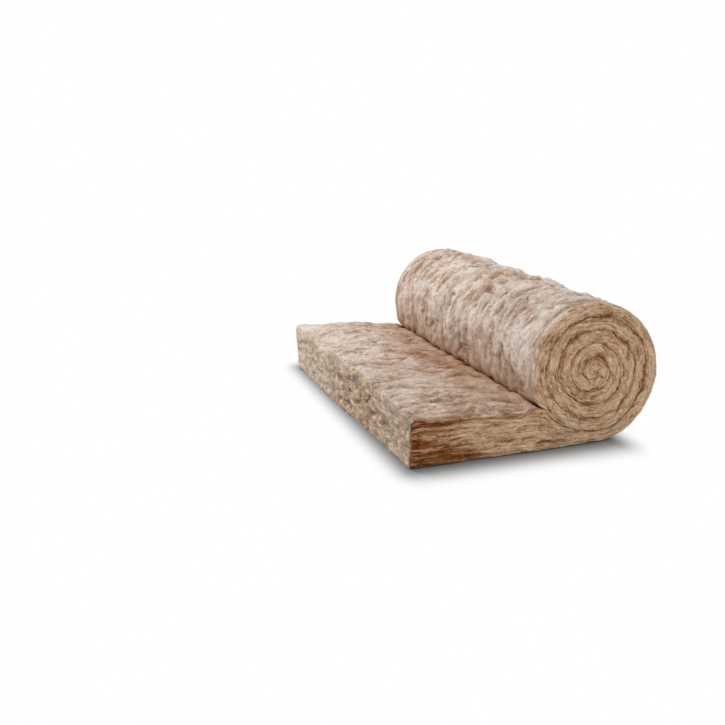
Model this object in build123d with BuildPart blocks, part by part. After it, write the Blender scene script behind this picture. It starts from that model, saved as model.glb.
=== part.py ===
from build123d import *
from math import asin, cos, degrees, exp, pi, radians, sin
import os

# Mineral wool insulation blanket, partly unrolled on the floor.
# +X runs along the blanket, from the cut end towards the roll.
# +Y runs across the blanket's width, and +Z is up.
# The origin is on the floor, under the middle of the whole blanket.

# Driving dimensions, in millimetres
blanket_width = 1200.0      # slit edge to slit edge, a standard blanket
flat_thickness = 150.0      # recovered thickness at the cut end
nip_height = 117.0          # thickness where the flat run meets the roll
flat_crown = 5.0            # rise of the flat run's top above a straight line
laid_length = 549.0         # floor run, from the cut end to under the roll's axis
roll_radius = 202.0         # outer radius of the roll's last half turn
wound_thickness = 38.0      # one compressed turn in the roll
edge_rounding = 9.0         # soft edges round both slit faces
cut_rounding = 14.0         # softer edge along the top of the cut end
floor_press = 3.0           # how far the wool is pressed flat where it lies on the floor
seam_start = 28.0           # distance from the nip to where the seam opens
seam_width = 4.0            # gap between two turns, as it shows on the ends
seam_depth = 15.0           # how deep that gap reads into the ends

# The laid top has risen in soft pillows that run away from the roll
pillow_height = 7.5         # how far a pillow stands above the mean height
pillow_width = 290.0        # across the blanket, from one furrow to the next
pillow_place = -110.0       # middle of one pillow, across the blanket
pillow_slant = 1400.0       # run over which the pillows drift by one width
swell_height = 3.0          # longer swells along the run
swell_length = 290.0        # from one swell to the next
swell_slant = 700.0         # width over which a swell drifts by one length
hump_height = 28.0          # extra rise beside the far slit edge
hump_place = 200.0          # middle of the hump, from the cut end
hump_length = 130.0         # how far it reaches along the run, each way
hump_width = 160.0          # how far it reaches in from the slit edge

# The roll's skin is pressed in by soft dents
dent_depth = 9.0            # deepest dent below the true cylinder
dent_length = 330.0         # round the roll, from one dent to the next
dent_width = 340.0          # across the blanket, from one dent to the next
dent_slant = 1100.0         # width over which the dents drift by one length
end_share = 0.7             # share of that depth that is left at the slit faces

# The points that carry the relief
section_spacing = 86.0      # from one section to the next, across the blanket
run_spacing = 75.0          # from one point to the next, along the laid top
skin_step = 25.0            # degrees from one point to the next, round the roll
calm_reach = 90.0           # over this distance the relief grows from a border

# Places that follow from them
half_width = blanket_width / 2
overall_length = laid_length + roll_radius
cut_x = -overall_length / 2
axis_x = cut_x + laid_length

# The blanket is wound in half turns about two centres, one above the other.
# Each right-hand half turn is about the low centre and each left-hand one
# about the high centre, so the radius drops by half a thickness each time.
low_centre = (axis_x, roll_radius)
high_centre = (axis_x, roll_radius + wound_thickness / 2)
first_left_radius = roll_radius - wound_thickness / 2


def nip_angle(inset=0.0):
    """Where the flat run meets the roll, with both faces drawn in by the inset."""
    drop = high_centre[1] - nip_height + inset
    return 180 + degrees(asin(drop / (first_left_radius - inset)))


def on_roll(angle, inward):
    """Point at this angle, this far inward of the roll's last turn."""
    centre, radius = (low_centre, roll_radius) if angle <= 90 else (high_centre, first_left_radius)
    turned = radians(angle)
    return (centre[0] + (radius - inward) * cos(turned), centre[1] + (radius - inward) * sin(turned))


nip_x, nip_z = on_roll(nip_angle(), 0)
seam_angle = nip_angle() + degrees(seam_start / first_left_radius)


def grown(distance):
    """0 at a border of the relief, rising softly to 1 at calm_reach."""
    share = min(max(distance / calm_reach, 0), 1)
    return share * share * (3 - 2 * share)


def laid_height(x, across):
    """Height of the laid top, with its pillows, swells and hump."""
    along = x - cut_x
    share = along / (nip_x - cut_x)
    mean = flat_thickness + (nip_z - flat_thickness) * share + 4 * flat_crown * share * (1 - share)
    pillow_turn = (across - pillow_place) / pillow_width + along / pillow_slant
    swell_turn = along / swell_length + across / swell_slant
    from_hump = ((half_width - across) / hump_width) ** 2 + ((along - hump_place) / hump_length) ** 2
    rise = pillow_height * cos(2 * pi * pillow_turn) + swell_height * cos(2 * pi * swell_turn)
    return mean + (rise + hump_height * exp(-from_hump)) * grown(nip_x - x)


def dent(angle, across):
    """How far the roll's skin is pressed in."""
    turn = radians(angle) * roll_radius / dent_length + across / dent_slant
    wave = cos(2 * pi * turn) * cos(2 * pi * across / dent_width)
    from_border = radians(min(angle + 90, nip_angle() - angle)) * roll_radius
    calm = end_share + (1 - end_share) * grown(half_width - abs(across))
    return dent_depth * (1 - wave) / 2 * calm * grown(from_border)


def wool_section(across, inset=0.0):
    """The flat run and the roll's outer skin, cut across the blanket at one place.

    Its underside lies below the floor, by as much as the floor presses flat.
    """
    last_angle = nip_angle(inset)
    turned = radians(last_angle)
    skin_count = round((nip_angle() + 90) / skin_step)
    skin_angles = [-90 + (last_angle + 90) * step / skin_count for step in range(skin_count + 1)]
    skin = [on_roll(angle, dent(angle, across) + inset) for angle in skin_angles]
    skin[0] = on_roll(skin_angles[0], inset - floor_press)
    run_count = round((nip_x - cut_x) / run_spacing)
    start_x, end_x = cut_x + inset, skin[-1][0]
    laid_x = [end_x + (start_x - end_x) * step / run_count for step in range(run_count + 1)]
    laid = [skin[-1]] + [(x, laid_height(x, across) - inset) for x in laid_x[1:]]
    with BuildSketch(Plane.XZ.offset(-across)) as section:
        with BuildLine():
            Line((start_x, skin[0][1]), skin[0])
            Spline(skin, tangents=[(1, 0), (-sin(turned), cos(turned))], tangent_scalars=[1, 1])
            Spline(laid)
            Line(laid[-1], (start_x, skin[0][1]))
        make_face()
        cut_top_corner = section.vertices().group_by(Axis.X)[0].sort_by(Axis.Y)[-1]
        fillet(cut_top_corner, cut_rounding - inset)
    return section.sketch


def left_half_turn(radius, start_angle=90):
    """The half turn from the top of the roll down its left side."""
    return CenterArc(high_centre, radius, start_angle, 270 - start_angle)


def right_half_turn(radius):
    """The half turn from the bottom of the roll up its right side."""
    return CenterArc(low_centre, radius, -90, 180)


with BuildPart() as wool_blanket:

    # The whole width between the two rounded ends
    inner_half = half_width - edge_rounding
    section_count = round(blanket_width / section_spacing)
    across_places = [inner_half * (2 * number / section_count - 1) for number in range(section_count + 1)]
    loft([wool_section(across) for across in across_places])

    # Soft edges round both slit faces
    for side in (-1, 1):
        rounding = [radians(angle) for angle in (0, 45, 90)]
        loft([
            wool_section(side * (inner_half + edge_rounding * sin(turned)), edge_rounding * (1 - cos(turned)))
            for turned in rounding
        ])

    # The floor presses the underside flat
    split(bisect_by=Plane.XY, keep=Keep.TOP)

    # The seam between the turns, cut into both ends from the nip to the eye
    for side in (-1, 1):
        with BuildSketch(Plane.XZ.offset(side * half_width)):
            with BuildLine():
                left_half_turn(first_left_radius, seam_angle)
                radius = roll_radius - wound_thickness
                while radius > wound_thickness:
                    right_half_turn(radius)
                    left_half_turn(radius - wound_thickness / 2)
                    radius -= wound_thickness
            trace(line_width=seam_width)
        extrude(amount=-side * seam_depth, mode=Mode.SUBTRACT)

wool_blanket.part.label = "wool_blanket"

os.makedirs("parts", exist_ok=True)
export_step(wool_blanket.part, "parts/wool_blanket.step")

turns = (roll_radius - wound_thickness / 2) / wound_thickness
box = wool_blanket.part.bounding_box()
print("nip angle", round(nip_angle(), 1), "deg, about", round(turns, 1), "turns in the roll")
print("volume", round(wool_blanket.part.volume / 1e9, 4), "m3, valid:", wool_blanket.part.is_valid)
print("size", round(box.size.X, 1), round(box.size.Y, 1), round(box.size.Z, 1), "mm")
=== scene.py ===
# %% [markdown]
# # A roll of mineral wool, partly unrolled
# The object is one blanket of mineral wool. Its free end lies flat on the floor, where the wool has
# risen to its full thickness, and the rest is still wound up tight. The finish is all soft relief:
# dents and folds on the skin, thin strata on the slit edges, and torn tufts on the cut end.

# %% Load the fixed frame
from math import asin, cos, degrees, pi, radians, sin

import bpy
import numpy as np
from mathutils import Matrix, Vector


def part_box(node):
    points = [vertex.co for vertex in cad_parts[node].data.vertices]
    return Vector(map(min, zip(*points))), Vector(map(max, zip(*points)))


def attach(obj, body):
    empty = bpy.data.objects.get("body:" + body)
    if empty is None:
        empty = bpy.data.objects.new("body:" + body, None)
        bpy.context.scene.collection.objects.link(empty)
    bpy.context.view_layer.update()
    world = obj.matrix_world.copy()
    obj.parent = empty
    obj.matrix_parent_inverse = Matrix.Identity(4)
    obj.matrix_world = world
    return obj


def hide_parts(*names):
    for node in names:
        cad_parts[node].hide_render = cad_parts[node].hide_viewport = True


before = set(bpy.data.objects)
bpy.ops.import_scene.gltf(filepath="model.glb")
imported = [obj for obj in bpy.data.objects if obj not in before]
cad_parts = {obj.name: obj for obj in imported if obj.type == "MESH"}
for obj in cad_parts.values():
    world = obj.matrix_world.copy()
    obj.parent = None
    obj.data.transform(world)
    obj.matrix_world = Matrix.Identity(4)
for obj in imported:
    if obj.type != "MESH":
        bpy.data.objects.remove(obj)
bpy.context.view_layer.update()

NODE = "wool_blanket"

# %% [markdown]
# ## Sizes
# The blanket is wound in half turns about two centres, one above the other. Each right-hand half
# turn is about the low centre and each left-hand one about the high centre, so the outer radius
# drops by half a thickness every time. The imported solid's box gives the width and the cut end.

# %% Sizes of the blanket, in metres
low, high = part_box(NODE)
half_width = round(high[1] - low[1], 3) / 2
near_y, far_y = -half_width, half_width
width = far_y - near_y
cut_x = low[0]
laid_length = 0.549      # floor run, from the cut end to under the roll's axis
axis_x = cut_x + laid_length
roll_radius = 0.202      # outer radius of the roll's last half turn
wound = 0.038            # thickness of one turn in the roll
cut_height = 0.150       # thickness at the cut end
nip_height = 0.117       # thickness where the flat run meets the roll
flat_crown = 0.005       # rise of the flat run's top above a straight line

low_centre = roll_radius
high_centre = roll_radius + wound / 2
first_left_radius = roll_radius - wound / 2

half_turn_steps = 120    # columns of faces in each half turn
layers = 48              # rows of faces through the blanket's thickness
run_columns = 96         # columns of faces from the cut end to the nip
width_steps = (13, 15)   # the width is divided twice, because one division has a limit

nip_angle = 180 + degrees(asin((high_centre - nip_height) / first_left_radius))
nip_step = round((nip_angle - 90) / 180 * half_turn_steps)
nip_angle = 90 + 180 * nip_step / half_turn_steps
nip_x = axis_x + first_left_radius * cos(radians(nip_angle))
nip_z = high_centre + first_left_radius * sin(radians(nip_angle))
inner_half_turns = 2 * int((roll_radius - wound) / wound) + 1
print("nip at", round(nip_x, 4), round(nip_z, 4), "half turns", inner_half_turns)

# %% [markdown]
# ## Reading and writing vertices
# The mesh gets large, so positions are moved as whole arrays. An operator acts on what is selected,
# so one helper selects exactly the vertices, edges and faces that a step needs.

# %% Helpers for arrays
def read(items, name, columns, kind=np.float64):
    """One property of all of a mesh's items, as rows."""
    values = np.empty(len(items) * columns, dtype=kind)
    items.foreach_get(name, values)
    return values.reshape(-1, columns)


def places(obj):
    return read(obj.data.vertices, "co", 3)


def put(obj, rows):
    obj.data.vertices.foreach_set("co", rows.ravel())
    obj.data.update()


def loop_vertices(obj):
    return read(obj.data.loops, "vertex_index", 1, np.int32).ravel()


def edge_ends(obj):
    return read(obj.data.edges, "vertices", 2, np.int32)


def open_edges(obj):
    """True for each edge that has one face only."""
    used = read(obj.data.loops, "edge_index", 1, np.int32).ravel()
    return np.bincount(used, minlength=len(obj.data.edges)) == 1


# %% Helpers for selections
def only(*objects):
    """Selects these objects alone, and makes the first one active."""
    bpy.ops.object.select_all(action="DESELECT")
    for obj in objects:
        obj.select_set(True)
    bpy.context.view_layer.objects.active = objects[0]


def select(obj, vertices=None, edges=None, faces=None):
    """Selects items by true or false arrays, then opens edit mode. Edges follow from vertices."""
    mesh = obj.data
    only(obj)
    if vertices is None:
        vertices = np.zeros(len(mesh.vertices), dtype=bool)
    elif edges is None:
        edges = vertices[edge_ends(obj)].all(axis=1)
    if edges is None:
        edges = np.zeros(len(mesh.edges), dtype=bool)
    if faces is None:
        faces = np.zeros(len(mesh.polygons), dtype=bool)
    mesh.vertices.foreach_set("select", vertices)
    mesh.edges.foreach_set("select", edges)
    mesh.polygons.foreach_set("select", faces)
    by_face = bool(faces.any())
    bpy.context.tool_settings.mesh_select_mode = (False, not by_face, by_face)
    bpy.ops.object.mode_set(mode="EDIT")


def leave_edit_mode():
    bpy.ops.object.mode_set(mode="OBJECT")


def face_outwards(obj):
    """Turns all faces of a closed mesh outwards."""
    only(obj)
    bpy.ops.object.mode_set(mode="EDIT")
    bpy.ops.mesh.select_all(action="SELECT")
    bpy.ops.mesh.normals_make_consistent(inside=False)
    leave_edit_mode()


# %% [markdown]
# ## The slit edge, drawn flat
# A slit edge shows every turn of the blanket. It is drawn as one strip of faces that starts at the
# cut end, runs along the floor and then winds up. A spiral curve with a profile would be quicker,
# but its turns would only lie side by side, and here they have to share their edges. The flat run is
# a grid whose columns are stretched to the blanket's height. Under the roll, the columns end on the
# roll's own underside.

# %% Helpers for a drawn strip
BLANKET_MAP = "blanket"


def new_grid(name, columns, rows):
    """A grid object, with the column and row number of each vertex."""
    divisions = {"x_subdivisions": columns, "y_subdivisions": rows}
    bpy.ops.object.select_all(action="DESELECT")
    bpy.ops.mesh.primitive_grid_add(**divisions, size=1, calc_uvs=False)
    obj = bpy.context.object
    obj.name = name
    rough = places(obj)
    column = np.rint((rough[:, 0] + 0.5) * columns).astype(int)
    row = np.rint((rough[:, 1] + 0.5) * rows).astype(int)
    return obj, column, row


def near_edge(x, z):
    """Rows of places in the plane of the near slit edge."""
    return np.stack([x, np.full(len(x), near_y), z], axis=1)


def keep_map(obj, name, u, v):
    """Keeps two numbers of each face corner as a UV map."""
    obj.data.uv_layers.new(name=name)
    obj.data.uv_layers[name].data.foreach_set("uv", np.stack([u, v], axis=1).ravel())


def keep_blanket_map(obj, s, t):
    """Keeps how far along the blanket each vertex is, and how far through its thickness."""
    corner = loop_vertices(obj)
    keep_map(obj, BLANKET_MAP, s[corner], t[corner])


# %% The flat run as a grid
def run_height(x):
    """Height of the flat run's top between the cut end and the nip."""
    share = (x - cut_x) / (nip_x - cut_x)
    return cut_height + (nip_z - cut_height) * share + 4 * flat_crown * share * (1 - share)


def left_underside(x):
    """Height of the first left-hand half turn's underside, right of the nip."""
    return high_centre - np.sqrt(np.maximum(first_left_radius**2 - (x - axis_x) ** 2, 0))


under_angles = np.radians(90 + 180 * np.arange(nip_step, half_turn_steps + 1) / half_turn_steps)
column_x = np.concatenate([
    np.linspace(cut_x, nip_x, run_columns + 1)[:-1],
    axis_x + first_left_radius * np.cos(under_angles),
])
column_z = np.where(column_x < nip_x - 1e-9, run_height(column_x), left_underside(column_x))

strip, column, row = new_grid("slit_strip", len(column_x) - 1, layers)
put(strip, near_edge(column_x[column], column_z[column] * row / layers))
keep_blanket_map(strip, column_x[column] - cut_x, row / layers)
print("flat run", len(strip.data.polygons), "faces")

# %% [markdown]
# ## Winding it up with Spin
# Each half turn starts as one column of edges and is spun round its centre, in an object of its
# own, because Spin slows down when many faces lie beside it. Each vertex keeps two numbers: how far
# along the blanket it is, and how far through its thickness. Every pattern later follows these two.

# %% Spin the half turns
spare_width = 0.001       # each grid has a spare column of vertices this far off, deleted at once
turns = []
along = axis_x - cut_x
for number in range(inner_half_turns):
    goes_right = number % 2 == 0
    centre_z = low_centre if goes_right else high_centre
    outer = roll_radius - number * wound / 2
    way = -1 if goes_right else 1
    turn, column, row = new_grid("half_turn", 1, layers)
    start_z = centre_z + way * (outer - wound * row / layers)
    put(turn, near_edge(axis_x + spare_width * (column - 1), start_z))
    select(turn, vertices=column == 0)
    bpy.ops.mesh.delete(type="VERT")
    bpy.ops.mesh.select_all(action="SELECT")
    centre = (axis_x, near_y, centre_z)
    bpy.ops.mesh.spin(steps=half_turn_steps, angle=pi, center=centre, axis=(0, 1, 0))
    leave_edit_mode()
    spot = places(turn)
    out_x, out_z = spot[:, 0] - axis_x, spot[:, 2] - centre_z
    turned = np.degrees(np.arctan2(out_z, out_x))
    turned = turned + 90 if goes_right else turned % 360 - 90
    through = (outer - np.hypot(out_x, out_z)) / wound
    length = pi * (outer - wound / 2)
    keep_blanket_map(turn, along + turned / 180 * length, through)
    along += length
    turns.append(turn)
print("wound length", round(along, 3), "m, in", len(turns), "half turns")

# %% [markdown]
# ## The eye
# At the middle there is no room left for a full half turn, so the blanket's first end is squashed
# into what remains. It is one more grid, whose columns make two fans: first their left ends follow
# the turn on the left while their right ends wait, and then the right ends follow the turn on the
# right. Then all the pieces are joined, and the edges that they share are merged.

# %% The squashed end in the eye
eye_steps = 2 * half_turn_steps
eye, column, row = new_grid("eye", eye_steps, layers)
left_turned = pi * np.minimum(column / half_turn_steps, 1)
right_turned = pi * np.maximum(column / half_turn_steps - 1, 0)
eye_outer = roll_radius - inner_half_turns * wound / 2
eye_inner = eye_outer - wound / 2
left_x = axis_x - eye_outer * np.sin(left_turned)
left_z = high_centre + eye_outer * np.cos(left_turned)
right_x = axis_x + eye_inner * np.sin(right_turned)
right_z = low_centre + eye_inner * np.cos(right_turned)
through = row / layers
put(eye, near_edge(left_x + (right_x - left_x) * through, left_z + (right_z - left_z) * through))
keep_blanket_map(eye, along + pi * eye_outer * column / eye_steps, through)
print("eye", len(eye.data.polygons), "faces")

# %% Join and merge
merge_reach = 0.00005     # vertices nearer than this on two pieces' outlines become one

only(strip, eye, *turns)
bpy.ops.object.join()
on_outline = np.zeros(len(strip.data.vertices), dtype=bool)
on_outline[edge_ends(strip)[open_edges(strip)]] = True
select(strip, vertices=on_outline)
bpy.ops.mesh.remove_doubles(threshold=merge_reach)
leave_edit_mode()
print("slit edge", len(strip.data.polygons), "faces")

# %% [markdown]
# ## The full width
# The drawn edge is extruded to the blanket's width. Only its outline makes side walls, because the
# turns inside are merged, so this is one closed solid. The walls are then divided across, because
# the folds of the skin need vertices to move.

# %% Extrude and divide
wool = strip
wool.name = "wool"
bpy.ops.object.mode_set(mode="EDIT")
bpy.ops.mesh.select_all(action="SELECT")
bpy.ops.mesh.extrude_region_move(TRANSFORM_OT_translate={"value": (0, width, 0)})
leave_edit_mode()
for pieces in width_steps:
    spot = places(wool)
    ends = edge_ends(wool)
    across = np.abs(spot[ends[:, 0], 1] - spot[ends[:, 1], 1]) > width / 1000
    select(wool, edges=across)
    bpy.ops.mesh.subdivide(number_cuts=pieces - 1)
    leave_edit_mode()
face_outwards(wool)
print("whole blanket", len(wool.data.polygons), "faces")

# %% [markdown]
# ## Where each vertex is in the blanket
# For the relief, each vertex needs its place in the blanket: along, through, and how far it is
# from a turn's edge and from the outline. A vertex on a seam belongs to two turns at once.

# %% Blanket places of the vertices
spot = places(wool)
corner = loop_vertices(wool)
blanket = read(wool.data.uv_layers[BLANKET_MAP].data, "uv", 2)
count = len(spot)
s = np.full(count, np.inf)
t_low = np.full(count, np.inf)
t_high = np.full(count, -np.inf)
np.minimum.at(s, corner, blanket[:, 0])
np.minimum.at(t_low, corner, blanket[:, 1])
np.maximum.at(t_high, corner, blanket[:, 1])
on_seam = t_high - t_low > 0.5
t = np.where(on_seam, 1.0, t_low)
print("along the blanket up to", round(float(s.max()), 3), "m")

# %% Which vertex lies where
x, y, z = spot.T
side = np.sign(y)
on_end = np.abs(np.abs(y) - half_width) < 1e-6
floor_run = axis_x - cut_x
turn_one = floor_run + pi * (roll_radius - wound / 2)
nip_s = turn_one + radians(nip_angle - 90) * (first_left_radius - wound / 2)
turn_two = turn_one + pi * (first_left_radius - wound / 2)
in_run = (s < floor_run + 1e-4) & ~((t_low < 0.001) & (z > 0.001) & on_seam)
first_turn = ~in_run & (s < turn_two)
height = np.where(x < nip_x, run_height(x), left_underside(x))
on_top = in_run & (x < nip_x + 1e-6)
out_x = x - axis_x
out_z = z - np.where(x >= axis_x, low_centre, high_centre)
out = np.maximum(np.hypot(out_x, out_z), 1e-6)
print("vertices", count, "on the ends", int(on_end.sum()), "on seams", int(on_seam.sum()))

# %% [markdown]
# ## Soft noise
# Mineral wool has no regular pattern, so the relief comes from gradient noise: a random slope at
# each point of a lattice, blended smoothly. Stretched one way it makes streaks, its size makes
# ridges, and the places where it crosses zero make long wandering lines.

# %% Noise
lattice_size = 1024
lattice = np.random.default_rng(11)
shuffled = lattice.permutation(lattice_size)
slope_way = lattice.uniform(0, 2 * pi, lattice_size)
slope_u, slope_v = np.cos(slope_way), np.sin(slope_way)


def noise(u, v, seed):
    """Gradient noise, about -1 to 1, with one swell for each unit."""
    cell_u, cell_v = np.floor(u), np.floor(v)
    part_u, part_v = u - cell_u, v - cell_v
    cell_u, cell_v = cell_u.astype(np.int64) + seed * 37, cell_v.astype(np.int64)
    fade_u = part_u**3 * (part_u * (part_u * 6 - 15) + 10)
    fade_v = part_v**3 * (part_v * (part_v * 6 - 15) + 10)
    total = 0.0
    for step_u, weight_u in ((0, 1 - fade_u), (1, fade_u)):
        row_code = shuffled[(cell_u + step_u) % lattice_size]
        for step_v, weight_v in ((0, 1 - fade_v), (1, fade_v)):
            code = shuffled[(row_code + cell_v + step_v) % lattice_size]
            slope = slope_u[code] * (part_u - step_u) + slope_v[code] * (part_v - step_v)
            total = total + weight_u * weight_v * slope
    return total * 1.5


def fractal(u, v, octaves, seed):
    """Several noises, each twice as fine and half as strong as the one before."""
    steps = range(octaves)
    return sum(noise(u * 2**level, v * 2**level, seed + level) / 2**level for level in steps)


def ridged(u, v, octaves, seed):
    """Rounded ridges with narrow valleys between them, from 0 in a valley to 1 on a ridge."""
    total = 0.0
    for level in range(octaves):
        total = total + np.abs(noise(u * 2**level, v * 2**level, seed + level)) / 2**level
    return np.clip(total * 1.6, 0, 1)


# %% Helpers for forms
def line(value, reach):
    """1 where the value is zero, falling off on both sides."""
    return np.exp(-((value / reach) ** 2))


def smooth(value, start, end):
    """0 before start, 1 after end, and smooth between them."""
    share = np.clip((value - start) / (end - start), 0, 1)
    return share * share * (3 - 2 * share)


def where(mask, function, *columns):
    """The function's values where the mask is true, and 0 elsewhere."""
    result = np.zeros(len(mask))
    result[mask] = function(*(column[mask] for column in columns))
    return result


# %% [markdown]
# ## The broad relief
# The solid already has the wool's broad forms: pillows, swells and one hump on the laid top, and
# dents in the roll. They could be drawn anew here, but the finished mesh starts from the same waves,
# so that the two lie together. Only the dents fade more towards the rims, which are rounder.

# %% Broad relief of the laid top
pillow_height, pillow_width, pillow_place, pillow_slant = 0.0075, 0.290, -0.110, 1.400
swell_height, swell_length, swell_slant = 0.0030, 0.290, 0.700
hump_height, hump_width, hump_place, hump_length = 0.028, 0.160, 0.200, 0.130
calm_reach = 0.090        # over this distance the broad relief grows from a border


def laid_forms(s, y):
    """The pillows, swells and hump of the laid top."""
    pillow = pillow_height * np.cos(2 * pi * ((y - pillow_place) / pillow_width + s / pillow_slant))
    swell = swell_height * np.cos(2 * pi * (s / swell_length + y / swell_slant))
    from_hump = ((half_width - y) / hump_width) ** 2 + ((s - hump_place) / hump_length) ** 2
    rise = pillow + swell + hump_height * np.exp(-from_hump)
    return rise * smooth(nip_x - cut_x - s, 0, calm_reach)


# %% Broad relief of the roll
dent_depth, dent_width, dent_length, dent_slant = 0.009, 0.340, 0.330, 1.100
dent_end_share = 0.4      # share of a dent's depth that is left at the rims


def roll_forms(s, y):
    """The dents of the roll, below the true cylinder."""
    right_angle = (s - floor_run) / (roll_radius - wound / 2) - pi / 2
    left_angle = (s - turn_one) / (first_left_radius - wound / 2) + pi / 2
    angle = np.where(s < turn_one, right_angle, left_angle)
    wave = np.cos(2 * pi * (angle * roll_radius / dent_length + y / dent_slant))
    wave = wave * np.cos(2 * pi * y / dent_width)
    from_border = np.minimum(angle + pi / 2, radians(nip_angle) - angle) * roll_radius
    calm = dent_end_share + (1 - dent_end_share) * smooth(half_width - np.abs(y), 0, calm_reach)
    return -dent_depth * (1 - wave) / 2 * calm * smooth(from_border, 0, calm_reach)


# %% [markdown]
# ## The skin's relief
# The roll's skin is soft and badly creased: folds that wander in every direction, rings pressed
# into it low down, a few deep creases, and one patch on top where the wool is torn open. They could
# be sculpted, but formulas can be read and changed. All are worked out from two places in the
# blanket: how far along, and how far across.

# %% Relief of the roll's skin
deep_creases = (            # from and to along the blanket, place across, depth
    (nip_s - 0.125, nip_s - 0.045, -0.062, 0.008),
    (nip_s - 0.085, nip_s - 0.020, -0.515, 0.009),
    (nip_s - 0.110, nip_s - 0.055, 0.255, 0.006),
)
torn_s, torn_y = turn_one + 0.010, -0.09      # middle of the torn patch, on top of the roll


def torn_share(s, y):
    """1 in the middle of the torn patch, falling off around it."""
    return np.exp(-(((s - torn_s) / 0.075) ** 2) - ((y - torn_y) / 0.20) ** 2)


def roll_skin(s, y):
    """How far the roll's skin stands out."""
    drift_s = s + 0.040 * noise(s / 0.14, y / 0.19, 12)
    drift_y = y + 0.050 * noise(s / 0.17, y / 0.16, 11)
    low_down = smooth(s, turn_one + 0.05, nip_s - 0.12)
    fold = 0.0095 * (ridged(drift_s / 0.125, drift_y / 0.095, 2, 14) - 0.40)
    wrinkle = 0.0055 * (ridged(drift_s / 0.040, drift_y / 0.070, 2, 16) - 0.40)
    wrinkle = wrinkle * (1 - 0.6 * low_down)
    ring = 0.0052 * (ridged(drift_s / 0.105, drift_y / 0.042, 2, 17) - 0.40)
    ring = ring * (0.30 + 0.70 * low_down)
    crease_place = smooth(noise(s / 0.13, y / 0.17, 20), -0.15, 0.25)
    crease = -0.0070 * line(noise(drift_s / 0.080, drift_y / 0.13, 19), 0.070) * crease_place
    tuft = 0.0028 * fractal(s / 0.022, y / 0.030, 2, 21)
    torn = torn_share(s, y)
    torn_pits = -0.014 * smooth(noise(drift_s / 0.032, drift_y / 0.050, 24), 0.00, 0.35)
    torn_tufts = 0.007 * ridged(drift_s / 0.040, drift_y / 0.06, 2, 25)
    total = fold + wrinkle + ring + crease + tuft + torn * (torn_pits + torn_tufts)
    for start, end, across, depth in deep_creases:
        bend = 0.008 * noise(s / 0.05, np.zeros_like(s), 27)
        length = smooth(s, start, start + 0.02) * (1 - smooth(s, end - 0.02, end))
        total -= depth * length * line(y - across - bend, 0.007)
    calm = 0.10 + 0.90 * smooth(half_width - np.abs(y), 0.0, 0.10)
    bulge = 0.0070 * line(nip_s - s - 0.032, 0.024)
    return roll_forms(s, y) + total * calm + bulge


# %% [markdown]
# ## The laid part's relief
# On its pillows the laid top has folds about a hand wide, finer wrinkles that run away from the
# roll, and some furrows. It droops along both slit edges, turns up at the far corner of the cut
# end, and bulges beside the roll. The cut end is torn in tufts, and its foot spreads.

# %% Relief of the laid top
def laid_top(s, y):
    """How far the laid part's top stands up."""
    drift_s = s + 0.06 * noise(s / 0.20, y / 0.21, 31)
    drift_y = y + 0.045 * noise(s / 0.19, y / 0.24, 32)
    fold = 0.0075 * (ridged(drift_s / 0.150, drift_y / 0.105, 2, 33) - 0.42)
    wrinkle = 0.0045 * (ridged(drift_s / 0.105, drift_y / 0.045, 2, 34) - 0.40)
    furrow_place = smooth(noise(s / 0.2, y / 0.2, 37), -0.2, 0.3)
    furrow = -0.0080 * line(noise(drift_s / 0.20, drift_y / 0.080, 36), 0.070) * furrow_place
    tuft = 0.0022 * fractal(s / 0.030, y / 0.050, 2, 38)
    nip_gap = nip_x - cut_x - s
    bulge = 0.0060 * line(nip_gap - 0.032, 0.022)
    droop = -0.0085 * np.exp(-(half_width + y) / 0.028) - 0.004 * np.exp(-(half_width - y) / 0.028)
    droop = droop * smooth(nip_gap, 0, 0.16)
    far_corner = 0.018 * np.exp(-s / 0.06) * np.exp(-(half_width - y) / 0.08)
    near_corner = -0.008 * np.exp(-s / 0.07) * np.exp(-(half_width + y) / 0.07)
    folds = (fold + wrinkle + furrow + tuft) * (0.35 + 0.65 * smooth(half_width + y, 0, 0.07))
    return laid_forms(s, y) + folds + bulge + droop + far_corner + near_corner


# %% Relief of the cut end
def cut_forms(y, z):
    """How far the cut end stands out as a whole."""
    wave = 0.0050 * noise(y / 0.21, z / 0.30, 48)
    foot = 0.012 * line(y - 0.17, 0.30) * (1 - smooth(z, 0.01, 0.09))
    far_corner = 0.012 * np.exp(-(half_width - y) / 0.07)
    near_corner = -0.007 * np.exp(-(half_width + y) / 0.07) * smooth(z, 0.0, 0.12)
    return wave + foot + far_corner + near_corner


def cut_tufts(y, z):
    """The torn tufts and pits of the cut end."""
    drift_z = z + 0.010 * noise(y / 0.14, z / 0.05, 41)
    from_edges = np.minimum(np.minimum(z + 0.008, cut_height - z), (half_width - np.abs(y)) * 1.5)
    calm = 0.25 + 0.75 * smooth(from_edges, 0.0, 0.035)
    tear = 0.0075 * fractal(y / 0.048, drift_z / 0.024, 3, 42)
    fibre = 0.0050 * (ridged(y / 0.075, drift_z / 0.018, 2, 44) - 0.4)
    pit_place = line(z - 0.080, 0.045) * (0.35 + 0.65 * line(y + 0.08, 0.32))
    pit = -0.018 * smooth(noise(y / 0.040, drift_z / 0.020, 45), 0.10, 0.70) * pit_place
    layer = 0.004 * (ridged(y / 0.16, drift_z / 0.040, 2, 46) - 0.4)
    return (tear + fibre + pit + layer) * calm


# %% [markdown]
# ## Reach
# The skin's relief also reaches a little way into the wool, so that the rim of a slit edge goes in
# and out with it. It fades to nothing a few centimetres in, and where the blanket lies on the floor.

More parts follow.
